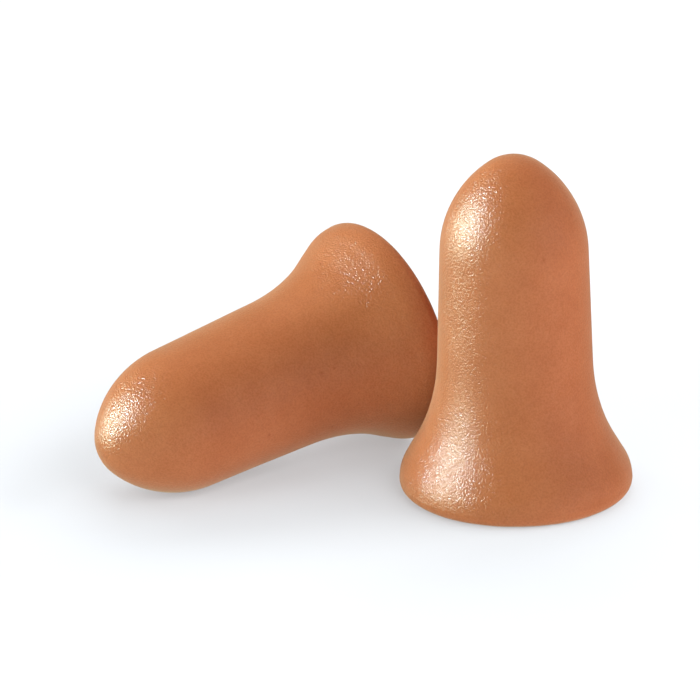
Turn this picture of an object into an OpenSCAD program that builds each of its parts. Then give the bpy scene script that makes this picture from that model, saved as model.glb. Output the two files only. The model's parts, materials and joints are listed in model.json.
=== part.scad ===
// Foam ear plugs: a pair of soft bell-shaped plugs, one standing on its flared
// base and the other lying on its side behind it.
// Both plugs are the same moulding. Each is one piece of foam all through,
// turned about its own axis. The outline runs from the flat base over a rounded
// rim, up a hollow flare to a slightly tapered shank, and ends in a bullet nose.
// Millimetres, +Z up. The origin is the middle of the standing plug's base, and
// both plugs touch the plane z = 0.

/* [Plug] */
// Length of a plug, from its flat base to the tip of its nose
plug_length = 26; // [25:0.5:28]
// Diameter of the shank halfway up the plug
shank_d = 11.3; // [10.6:0.1:11.6]
// Taper of the shank towards the nose, degrees on each side
shank_taper = 2.1; // [1:0.1:3]

/* [Nose] */
// Radius of the long curve between the shank and the tip
shoulder_r = 8.4; // [7.5:0.1:9.5]
// Radius of the round tip
tip_r = 3.4; // [2.4:0.1:3.8]

/* [Flare] */
// Diameter of the flared rim
rim_d = 17.4; // [16.4:0.2:17.6]
// Height of the rim's widest line over the base
rim_edge_h = 0.9; // [0.85:0.05:1.1]
// Radius of the round over the rim
rim_round_r = 2.9; // [2:0.1:3.3]
// Radius of the hollow sweep between the rim and the shank
flare_r = 14.2; // [12:0.2:17]
// Radius on the bottom corner of the rim
base_edge_r = 0.8; // [0.3:0.1:0.8]

/* [Lying plug] */
// How far the middle of the lying plug's base is to the left of the standing plug's
lying_left = 9.3; // [9.3:0.1:13]
// How far the middle of the lying plug's base is behind the standing plug's
lying_back = 11.5; // [11.5:0.1:15]
// Way that the lying plug's nose points, degrees from +X towards +Y
lying_heading = 213; // [208:1:218]

/* [Surface] */
// Number of steps round a plug
smoothness = 160; // [64:16:240]
// Angle between the points along the curves of the outline, degrees
arc_step = 3; // [2:1:6]

/* [Hidden] */
foam_orange = [0.80, 0.49, 0.31];
foam_coral = [0.78, 0.46, 0.29];

// Unit vector at an angle, and a cut-off that keeps a rounding error out of sqrt
function dir(a) = [cos(a), sin(a)];
function root(v) = sqrt(max(v, 0));

// The shank's side is a straight line through mid, leaning in by the taper.
// out is its outward normal and up is the way it runs.
mid = [shank_d / 2, 14];
out = dir(shank_taper);
up = [-sin(shank_taper), cos(shank_taper)];

// Tip circle: on the axis, its top at the full length
tip_c = [0, plug_length - tip_r];

// Shoulder circle: touches the shank's line from inside, and holds the tip circle
sh_w = mid - shoulder_r * out - tip_c;
sh_b = sh_w * up;
sh_s = -sh_b - root(sh_b * sh_b - sh_w * sh_w + pow(shoulder_r - tip_r, 2));
shoulder_c = mid - shoulder_r * out + sh_s * up;
tip_a = atan2(tip_c.y - shoulder_c.y, tip_c.x - shoulder_c.x);
tip_steps = ceil((90 - tip_a) / arc_step / 1.5);

// Rim circle, and the flare circle that touches it and the shank's line from outside
rim_c = [rim_d / 2 - rim_round_r, rim_edge_h];
fl_w = mid + flare_r * out - rim_c;
fl_b = fl_w * up;
fl_s = -fl_b + root(fl_b * fl_b - fl_w * fl_w + pow(flare_r + rim_round_r, 2));
flare_c = mid + flare_r * out + fl_s * up;
flare_a = atan2(flare_c.y - rim_c.y, flare_c.x - rim_c.x);

// Lying down, a plug rests on its rim and its shoulder. nose_dip is the angle by
// which its axis falls towards the nose, and base_mid_h is the height of the
// middle of its base: both circles then touch z = 0.
dip_w = rim_c.x - shoulder_c.x;
dip_h = shoulder_c.y - rim_c.y;
nose_dip = acos((shoulder_r - rim_round_r) / norm([dip_w, dip_h])) - atan2(dip_h, dip_w);
base_mid_h = rim_c.x * cos(nose_dip) + rim_c.y * sin(nose_dip) + rim_round_r;

// Points along a circle's edge from one angle to the next, about arc_step apart.
// A negative radius runs along the far side, which gives a hollow curve.
function arc(c, r, a0, a1, n = 0) =
    let (k = n > 0 ? n : max(2, ceil(abs(a1 - a0) / arc_step)))
    [for (i = [0 : k]) c + r * dir(a0 + (a1 - a0) * i / k)];

// Half section of a plug: base, bottom corner, round over the rim, hollow flare,
// straight shank, shoulder and tip. Neighbouring curves touch without a corner.
module half_section() polygon(concat(
    [[0, 0]],
    arc([rim_d / 2 - base_edge_r, base_edge_r], base_edge_r, -90, 0, 8),
    arc(rim_c, rim_round_r, 0, flare_a),
    [for (p = arc(flare_c, -flare_r, flare_a, shank_taper)) if (p.y > rim_c.y + rim_round_r * sin(flare_a) + 0.001) p],
    arc(shoulder_c, shoulder_r, shank_taper, tip_a),
    [for (i = [1 : tip_steps - 1]) tip_c + tip_r * dir(tip_a + (90 - tip_a) * i / tip_steps)],
    [[0, plug_length]]
));

// One plug, standing on its base
module plug() rotate_extrude($fn = smoothness) half_section();

module standing_plug() color(foam_orange) plug();

module lying_plug() color(foam_coral)
    translate([-lying_left, lying_back, base_mid_h])
        rotate([0, 0, lying_heading])
            rotate([0, 90 + nose_dip, 0])
                plug();

standing_plug();
lying_plug();
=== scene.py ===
import bpy
import json
import math
import numpy as np
from mathutils import Vector, Matrix


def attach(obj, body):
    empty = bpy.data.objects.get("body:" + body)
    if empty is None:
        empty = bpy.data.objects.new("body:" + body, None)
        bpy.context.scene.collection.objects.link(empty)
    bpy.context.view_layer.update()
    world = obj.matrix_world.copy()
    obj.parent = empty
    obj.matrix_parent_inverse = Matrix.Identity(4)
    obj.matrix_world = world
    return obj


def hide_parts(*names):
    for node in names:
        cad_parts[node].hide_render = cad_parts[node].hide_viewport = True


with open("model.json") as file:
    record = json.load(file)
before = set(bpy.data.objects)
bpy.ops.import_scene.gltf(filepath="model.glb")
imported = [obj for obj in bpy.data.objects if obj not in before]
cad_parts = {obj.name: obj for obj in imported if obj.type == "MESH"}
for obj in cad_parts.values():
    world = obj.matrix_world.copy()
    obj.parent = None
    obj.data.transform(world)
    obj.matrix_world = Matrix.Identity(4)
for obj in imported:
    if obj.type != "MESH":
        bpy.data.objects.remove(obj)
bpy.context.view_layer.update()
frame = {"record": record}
MM = 0.001
mounts = {m["name"]: m for m in frame["record"]["mounts"]}

# ---------------------------------------------------------------- outline
# The same tangent circles as the CAD outline, in millimetres.
L, SHANK, TAPER = 26.0, 11.3, math.radians(2.1)
SHOULDER, TIP = 8.4, 3.4
RIM, RIM_H, RIM_R, FLARE, EDGE = 17.4, 0.9, 2.9, 14.2, 0.8


def unit(a):
    return np.array([math.cos(a), math.sin(a)])


def outline():
    """Points (r, z), outward normals and path length along a plug's half section, from the middle of the base to the tip."""
    mid, out, up = np.array([SHANK / 2, 14.0]), unit(TAPER), np.array([-math.sin(TAPER), math.cos(TAPER)])
    tip = np.array([0.0, L - TIP])
    w = mid - SHOULDER * out - tip
    b = w @ up
    sh = mid - SHOULDER * out + (-b - math.sqrt(b * b - w @ w + (SHOULDER - TIP) ** 2)) * up
    tip_a = math.atan2(*(tip - sh)[::-1])
    rim = np.array([RIM / 2 - RIM_R, RIM_H])
    w = mid + FLARE * out - rim
    b = w @ up
    fl = mid + FLARE * out + (-b + math.sqrt(b * b - w @ w + (FLARE + RIM_R) ** 2)) * up
    fl_a = math.atan2(*(fl - rim)[::-1])
    edge = np.array([RIM / 2 - EDGE, EDGE])
    pts, nrm = [], []

    def line(p, q, n, step):
        k = max(1, int(round(np.linalg.norm(q - p) / step)))
        for i in range(k):
            pts.append(p + (q - p) * i / k)
            nrm.append(n)

    def arc(c, r, a0, a1, step, sign=1):
        k = max(2, int(round(abs(a1 - a0) * r / step)))
        for i in range(k):
            a = a0 + (a1 - a0) * i / k
            pts.append(c + sign * r * unit(a))
            nrm.append(unit(a))

    down = np.array([0.0, -1.0])
    line(np.array([0.0, 0.0]), np.array([RIM / 2 - EDGE, 0.0]), down, 0.20)
    arc(edge, EDGE, -math.pi / 2, 0.0, 0.10)
    line(np.array([RIM / 2, EDGE]), np.array([RIM / 2, RIM_H]), unit(0.0), 0.10)
    arc(rim, RIM_R, 0.0, fl_a, 0.12)
    arc(fl, FLARE, fl_a, TAPER, 0.135, -1)
    line(fl - FLARE * unit(TAPER), sh + SHOULDER * unit(TAPER), unit(TAPER), 0.135)
    arc(sh, SHOULDER, TAPER, tip_a, 0.13)
    arc(tip, TIP, tip_a, math.pi / 2, 0.12)
    pts.append(np.array([0.0, L]))
    nrm.append(unit(math.pi / 2))
    return np.array(pts), np.array(nrm)


# ---------------------------------------------------------------- smooth noise
def noise(p, seed):
    """Smooth random field on points p, about -1 to 1, one feature per unit length."""
    rng = np.random.default_rng(seed)
    grad = rng.normal(size=(256, 3))
    grad /= np.linalg.norm(grad, axis=1)[:, None]
    perm = rng.permutation(256)
    i = np.floor(p).astype(np.int64)
    f = p - i
    u = f * f * f * (f * (f * 6 - 15) + 10)
    total = np.zeros(len(p))
    for dx in (0, 1):
        for dy in (0, 1):
            for dz in (0, 1):
                h = perm[(perm[(perm[(i[:, 0] + dx) & 255] + i[:, 1] + dy) & 255] + i[:, 2] + dz) & 255]
                d = grad[h]
                dot = d[:, 0] * (f[:, 0] - dx) + d[:, 1] * (f[:, 1] - dy) + d[:, 2] * (f[:, 2] - dz)
                w = (u[:, 0] if dx else 1 - u[:, 0]) * (u[:, 1] if dy else 1 - u[:, 1]) * (u[:, 2] if dz else 1 - u[:, 2])
                total += w * dot
    return total * 1.6


# ---------------------------------------------------------------- plug mesh
def plug(name, seed, base, axis, spin):
    """One foam plug as its own closed mesh. base is the middle of its base and axis runs to the nose, in the row frame, in metres."""
    prof, pn = outline()
    n_rings = len(prof)
    full = 384

    def count(r):
        n = full
        while n > 12 and n / 2 >= 2 * math.pi * r / 0.125:
            n //= 2
        return n

    counts = [count(r) for r, _ in prof]
    counts[0] = counts[-1] = 1
    # a ring may have at most twice or half of its neighbour's points
    for k in range(2, n_rings - 1):
        counts[k] = min(counts[k], counts[k - 1] * 2)
    for k in range(n_rings - 3, 0, -1):
        counts[k] = min(counts[k], counts[k + 1] * 2)
    start, co, no = [], [], []
    total = 0
    for k, ((r, z), (nr, nz)) in enumerate(zip(prof, pn)):
        n = counts[k]
        start.append(total)
        t = np.arange(n) * 2 * math.pi / n
        if n == 1:
            co.append([[0, 0, z]])
            no.append([[0, 0, nz]])
        else:
            co.append(np.c_[r * np.cos(t), r * np.sin(t), np.full(n, z)])
            no.append(np.c_[nr * np.cos(t), nr * np.sin(t), np.full(n, nz)])
        total += n
    co, no = np.concatenate(co), np.concatenate(no)
    faces = []
    for k in range(n_rings - 1):
        a, b, na, nb = start[k], start[k + 1], counts[k], counts[k + 1]
        if na == 1:
            faces += [(a, b + (j + 1) % nb, b + j) for j in range(nb)]
        elif nb == 1:
            faces += [(a + j, a + (j + 1) % na, b) for j in range(na)]
        elif na == nb:
            faces += [(a + j, a + (j + 1) % na, b + (j + 1) % nb, b + j) for j in range(na)]
        elif nb == 2 * na:
            for j in range(na):
                a0, a1 = a + j, a + (j + 1) % na
                b0, b1, b2 = b + 2 * j, b + 2 * j + 1, b + (2 * j + 2) % nb
                faces += [(a0, b1, b0), (a0, a1, b1), (a1, b2, b1)]
        else:
            for j in range(nb):
                b0, b1 = b + j, b + (j + 1) % nb
                a0, a1, a2 = a + 2 * j, a + 2 * j + 1, a + (2 * j + 2) % na
                faces += [(a0, a1, b0), (a1, b1, b0), (a1, a2, b1)]

    # ---- surface form
    off = np.array([seed * 37.1, seed * 11.7, seed * 5.3])
    rad = np.hypot(co[:, 0], co[:, 1])
    z = co[:, 2].copy()
    on_base = np.clip((-no[:, 2] - 0.6) / 0.4, 0, 1)
    d = 0.040 * noise(co / 7.0 + off, seed)            # slow waviness of a soft moulding
    d += 0.007 * noise(co / 2.4 + off, seed + 1)       # gentle dimpling
    d += 0.0022 * noise(co / 0.62 + off, seed + 2)     # pebbled skin
    d += 0.0024 * noise(co / 0.34 + off, seed + 3)
    # base: the foam shrinks a little behind its face, which leaves a shallow dish
    dish = np.clip(1 - (rad / 7.0) ** 2, 0, 1) ** 1.5
    ring = 0.05 / (1 + np.exp(-(2.6 - rad) / 0.10))
    base_d = -0.28 * dish + ring + 0.012 * noise(co / 1.1 + off, seed + 4)
    d += on_base * base_d
    # mould line round the widest part of the rim
    line = np.exp(-((z - 0.86) / 0.075) ** 2) * np.clip((no[:, 0] ** 2 + no[:, 1] ** 2) - 0.6, 0, 1) * 2.5
    d += 0.028 * line * (0.75 + 0.25 * noise(co / 1.6 + off, seed + 5))
    # a soft crest where the hollow of the flare turns over into the rim
    side = np.clip(no[:, 0] ** 2 + no[:, 1] ** 2, 0, 1) * (z < 8.0)
    crest = np.exp(-((z - 3.2) / np.where(z > 3.2, 1.2, 0.60)) ** 2) * side
    d += 0.09 * crest * (0.8 + 0.4 * noise(co / 4.0 + off, seed + 6))
    # pinholes, where bubbles met the skin: each is a shallow dent, and its mask darkens the colour there as painted
    # shade in the hole
    rng = np.random.default_rng(900 + seed)
    pit_shade = np.zeros(len(co))
    n_side, n_base = 12, 30
    for k in range(n_side + n_base):
        if k < n_side:
            zc, tc = rng.uniform(1.5, 25.0), rng.uniform(0, 2 * math.pi)
            rc = np.interp(zc, prof[:, 1], prof[:, 0])
            c, size, depth = np.array([rc * math.cos(tc), rc * math.sin(tc), zc]), rng.uniform(0.07, 0.13), 0.025
        else:
            rc, tc = 7.4 * math.sqrt(rng.uniform(0, 1)), rng.uniform(0, 2 * math.pi)
            c, size, depth = np.array([rc * math.cos(tc), rc * math.sin(tc), 0.0]), rng.uniform(0.10, 0.24), 0.07
        near = np.exp(-(((co - c) ** 2).sum(1)) / (size * size))
        d -= depth * near
        pit_shade = np.maximum(pit_shade, near)
    co = co + no * d[:, None]

    # ---- into place
    ax = Vector(axis).normalized()
    rot = ax.to_track_quat("Z", "Y").to_matrix() @ Matrix.Rotation(spin, 3, "Z")
    R = np.array(rot)
    world = co @ R.T * MM + np.array(base)
    # soft foam flattens a little where it rests
    zz = world[:, 2]
    soft = 0.00006
    world[:, 2] = np.where(zz < soft, soft * np.exp((np.minimum(zz, soft) - soft) / soft), zz)

    me = bpy.data.meshes.new(name)
    me.from_pydata(world.tolist(), [], faces)
    me.update()
    me.polygons.foreach_set("use_smooth", [True] * len(me.polygons))
    a = me.attributes.new("pit_shade", "FLOAT", "POINT")
    a.data.foreach_set("value", pit_shade.astype(np.float32))
    a = me.attributes.new("underside", "FLOAT", "POINT")
    a.data.foreach_set("value", on_base.astype(np.float32))
    ob = bpy.data.objects.new(name, me)
    bpy.context.scene.collection.objects.link(ob)
    print(name, "verts", len(me.vertices), "tris", sum(len(p.vertices) - 2 for p in me.polygons))
    return ob


# ---------------------------------------------------------------- material
def foam(name):
    m = bpy.data.materials.new(name)
    m.use_nodes = True
    nt = m.node_tree
    N, K = nt.nodes, nt.links
    N.clear()
    out = N.new("ShaderNodeOutputMaterial")
    bs = N.new("ShaderNodeBsdfPrincipled")
    K.new(bs.outputs[0], out.inputs[0])
    tc = N.new("ShaderNodeTexCoord")

    def tex(scale, detail=2.0, rough=0.5, kind="ShaderNodeTexNoise"):
        t = N.new(kind)
        t.inputs["Scale"].default_value = scale
        if kind == "ShaderNodeTexNoise":
            t.inputs["Detail"].default_value = detail
            t.inputs["Roughness"].default_value = rough
        K.new(tc.outputs["Object"], t.inputs["Vector"])
        return t

    def ramp(src, stops):
        r = N.new("ShaderNodeValToRGB")
        e = r.color_ramp.elements
        while len(e) > 1:
            e.remove(e[-1])
        for k, (p, c) in enumerate(stops):
            s = e[0] if k == 0 else e.new(p)
            s.position = p
            s.color = (*c, 1)
        K.new(src, r.inputs[0])
        return r

    # colour: cloudy mottling over a few millimetres, and a faint speckle of cells on the same pattern as the skin's
    # grain, whose pale specks are lightened towards white as painted sparkle
    big = tex(300, 3, 0.55)
    c1 = ramp(big.outputs[0], [(0.30, (0.485, 0.140, 0.052)), (0.52, (0.515, 0.153, 0.059)), (0.74, (0.545, 0.167, 0.067))])
    small = tex(3300, 2, 0.6)
    fine = tex(7000, 1.0, 0.5)
    # the pale, whitish end of this speckle is painted sparkle; the rest is the faint tone of the skin's cells
    cell_speckle_and_sparkle = ramp(fine.outputs[0], [(0.32, (0.92, 0.90, 0.88)), (0.5, (1, 1, 1)), (0.70, (1.06, 1.09, 1.12))])
    mix = N.new("ShaderNodeMix")
    mix.data_type, mix.blend_type = "RGBA", "MULTIPLY"
    mix.inputs[0].default_value = 1.0
    K.new(c1.outputs[0], mix.inputs[6])
    K.new(cell_speckle_and_sparkle.outputs[0], mix.inputs[7])
    # painted shade: the colour is darkened in the pinholes, standing in for the shade inside each hole
    pit_shade = N.new("ShaderNodeAttribute")
    pit_shade.attribute_name = "pit_shade"
    pit_shade_mix = N.new("ShaderNodeMix")
    pit_shade_mix.data_type, pit_shade_mix.blend_type = "RGBA", "MULTIPLY"
    K.new(pit_shade.outputs["Fac"], pit_shade_mix.inputs[0])
    K.new(mix.outputs[2], pit_shade_mix.inputs[6])
    pit_shade_mix.inputs[7].default_value = (0.78, 0.66, 0.60, 1)
    K.new(pit_shade_mix.outputs[2], bs.inputs["Base Color"])

    # roughness follows the grain
    rr = N.new("ShaderNodeMapRange")
    K.new(small.outputs[0], rr.inputs[0])
    rr.inputs[1].default_value, rr.inputs[2].default_value = 0.3, 0.7
    rr.inputs[3].default_value, rr.inputs[4].default_value = 0.34, 0.44
    K.new(rr.outputs[0], bs.inputs["Roughness"])

    # fine pebbled grain of the skin, about a tenth of a millimetre
    g1 = tex(7000, 1.0, 0.5)
    g1.name = "grain"
    b = N.new("ShaderNodeBump")
    b.name = "base_bump"
    b.inputs["Strength"].default_value = 1.0
    b.inputs["Distance"].default_value = 0.00003
    K.new(g1.outputs[0], b.inputs["Height"])
    K.new(b.outputs[0], bs.inputs["Normal"])
    b2 = N.new("ShaderNodeBump")
    b2.name = "coat_bump"
    b2.inputs["Strength"].default_value = 1.0
    b2.inputs["Distance"].default_value = 0.00007
    K.new(g1.outputs[0], b2.inputs["Height"])
    K.new(b2.outputs[0], bs.inputs["Coat Normal"])

    bs.inputs["IOR"].default_value = 1.48
    bs.inputs["Specular IOR Level"].default_value = 0.0
    bs.inputs["Subsurface Weight"].default_value = 0.12
    bs.inputs["Subsurface Radius"].default_value = (0.8, 0.4, 0.25)
    bs.inputs["Subsurface Scale"].default_value = 0.0006
    bs.inputs["Coat Weight"].default_value = 0.15
    bs.inputs["Coat IOR"].default_value = 3.0
    bs.inputs["Coat Roughness"].default_value = 0.24
    bs.inputs["Sheen Weight"].default_value = 0.38
    bs.inputs["Sheen Roughness"].default_value = 0.40
    bs.inputs["Sheen Tint"].default_value = (0.92, 1.0, 0.76, 1)
    return m


skin = foam("foam_skin")
plugs = bpy.data.collections.new("plugs")
for name, body, spin, seed in (("standing_foam", "standing_plug", 0.4, 3), ("lying_foam", "lying_plug", 2.1, 8)):
    kind = body.split("_")[0]
    m = mounts[kind + "_base"]
    ob = plug(name, seed, m["pos_m"], [-v for v in m["axis"]], spin)
    ob.data.materials.append(skin)
    plugs.objects.link(ob)
    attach(ob, body)
    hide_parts(body)

# ---------------------------------------------------------------- stage
me = bpy.data.meshes.new("floor")
s = 3.0
me.from_pydata([(-s, -s, 0), (s, -s, 0), (s, s, 0), (-s, s, 0)], [], [(0, 1, 2, 3)])
floor = bpy.data.objects.new("floor", me)
bpy.context.scene.collection.objects.link(floor)
fm = bpy.data.materials.new("floor_white")
fm.use_nodes = True
fb = fm.node_tree.nodes["Principled BSDF"]
fb.inputs["Base Color"].default_value = (0.238, 0.252, 0.266, 1)
fb.inputs["Roughness"].default_value = 0.9
fb.inputs["Specular IOR Level"].default_value = 0.1
fb.inputs["Emission Color"].default_value = (0.98, 0.99, 1.0, 1)
# the lamps only reach the middle of the floor, so it glows more further out and stays pale to the horizon
fn, fl = fm.node_tree.nodes, fm.node_tree.links
f_tc = fn.new("ShaderNodeTexCoord")
f_len = fn.new("ShaderNodeVectorMath")
f_len.operation = "LENGTH"
f_map = fn.new("ShaderNodeMapRange")
f_map.interpolation_type = "SMOOTHSTEP"
f_map.inputs[1].default_value, f_map.inputs[2].default_value = 0.10, 0.60
f_map.inputs[3].default_value, f_map.inputs[4].default_value = 0.395, 1.0
fl.new(f_tc.outputs["Object"], f_len.inputs[0])
fl.new(f_len.outputs["Value"], f_map.inputs[0])
fl.new(f_map.outputs[0], fb.inputs["Emission Strength"])
me.materials.append(fm)
floor.visible_glossy = False
ground = bpy.data.collections.new("ground")
ground.objects.link(floor)

# ---------------------------------------------------------------- light
scene = bpy.context.scene
scene.view_settings.view_transform = "Standard"
scene.view_settings.look = "None"
scene.view_settings.exposure = 0.0
scene.view_settings.gamma = 1.0
world = bpy.data.worlds.new("studio")
world.use_nodes = True
bg = world.node_tree.nodes["Background"]
bg.inputs[0].default_value = (1, 1, 1, 1)
bg.inputs[1].default_value = 1.0
scene.world = world
# the white surround is a backdrop only; the lamps do the lighting
for kind in ("diffuse", "glossy", "transmission", "scatter"):
    setattr(world.cycles_visibility, kind, False)

centre = Vector((-0.008, 0.004, 0.010))


def softbox(name, az, el, dist, w, h, power, color=(1, 1, 1), lit=None):
    """Area light seen from the object at azimuth az (0 is the front, 90 the right) and elevation el, in degrees."""
    a, e = math.radians(az), math.radians(el)
    d = Vector((math.sin(a) * math.cos(e), -math.cos(a) * math.cos(e), math.sin(e)))
    data = bpy.data.lights.new(name, "AREA")
    data.shape, data.size, data.size_y = "RECTANGLE", w, h
    data.energy, data.color = power, color
    o = bpy.data.objects.new(name, data)
    o.location = centre + d * dist
    o.rotation_mode = "QUATERNION"
    o.rotation_quaternion = d.to_track_quat("Z", "Y")
    o.visible_camera = False
    scene.collection.objects.link(o)
    if lit is not None:
        o.light_linking.receiver_collection = lit
    return o


# soft light on the plugs, all round
pale = (0.82, 1.03, 0.86)
for args in (("left_high", -90, 36, 0.50, 0.30, 0.30, 1.5, pale),
             ("left_low", -50, 6, 0.50, 0.36, 0.16, 1.55, (0.68, 1.05, 0.98)),
             ("right_low", 75, 13, 0.50, 0.40, 0.30, 1.6), ("right_front", 35, 10, 0.50, 0.30, 0.30, 0.45),
             ("back_high", -150, 60, 0.50, 0.30, 0.30, 2.1, (1.0, 0.94, 0.90))):
    softbox(*args, lit=plugs).visible_glossy = False
# light low on the left that only shows in the skin's gloss: a small bright box and a wide dim one
softbox("gloss_core", -85, 25, 0.50, 0.07, 0.05, 4.0, (0.66, 0.90, 1.0), lit=plugs).visible_diffuse = False
softbox("gloss_wide", -96, 10, 0.50, 0.44, 0.30, 7.6, (0.76, 1.0, 0.76), lit=plugs).visible_diffuse = False
# soft light on the floor, from all round
softbox("ground_left", -76, 13, 0.50, 0.32, 0.22, 2.0, lit=ground)
softbox("ground_left_back", -125, 25, 0.50, 0.30, 0.30, 1.5, lit=ground)
softbox("ground_left_front", -40, 30, 0.50, 0.30, 0.30, 0.9, lit=ground)
softbox("ground_right", 88, 35, 0.50, 0.50, 0.25, 3.7, lit=ground)
softbox("ground_front", 30, 35, 0.50, 0.30, 0.25, 2.2, lit=ground)
softbox("ground_back", 175, 40, 0.50, 0.50, 0.30, 2.9, lit=ground)
softbox("ground_top", 0, 89, 0.50, 0.50, 0.50, 1.0, lit=ground)

# ---------------------------------------------------------------- camera
cd = bpy.data.cameras.new("camera")
cd.sensor_fit, cd.sensor_width = "AUTO", 36.0
cd.lens = 4860.8 * 36.0 / 700.0
cd.clip_start, cd.clip_end = 0.01, 10.0
cam = bpy.data.objects.new("camera", cd)
scene.collection.objects.link(cam)
pitch, roll = 0.353889, -0.01963
cam.rotation_mode = "QUATERNION"
m = Matrix.Rotation(math.pi / 2 - pitch, 3, "X") @ Matrix.Rotation(roll, 3, "Z")
cam.rotation_quaternion = m.to_quaternion()
cam.location = (-0.0122184, -0.3379529, 0.1359790)
scene.camera = cam
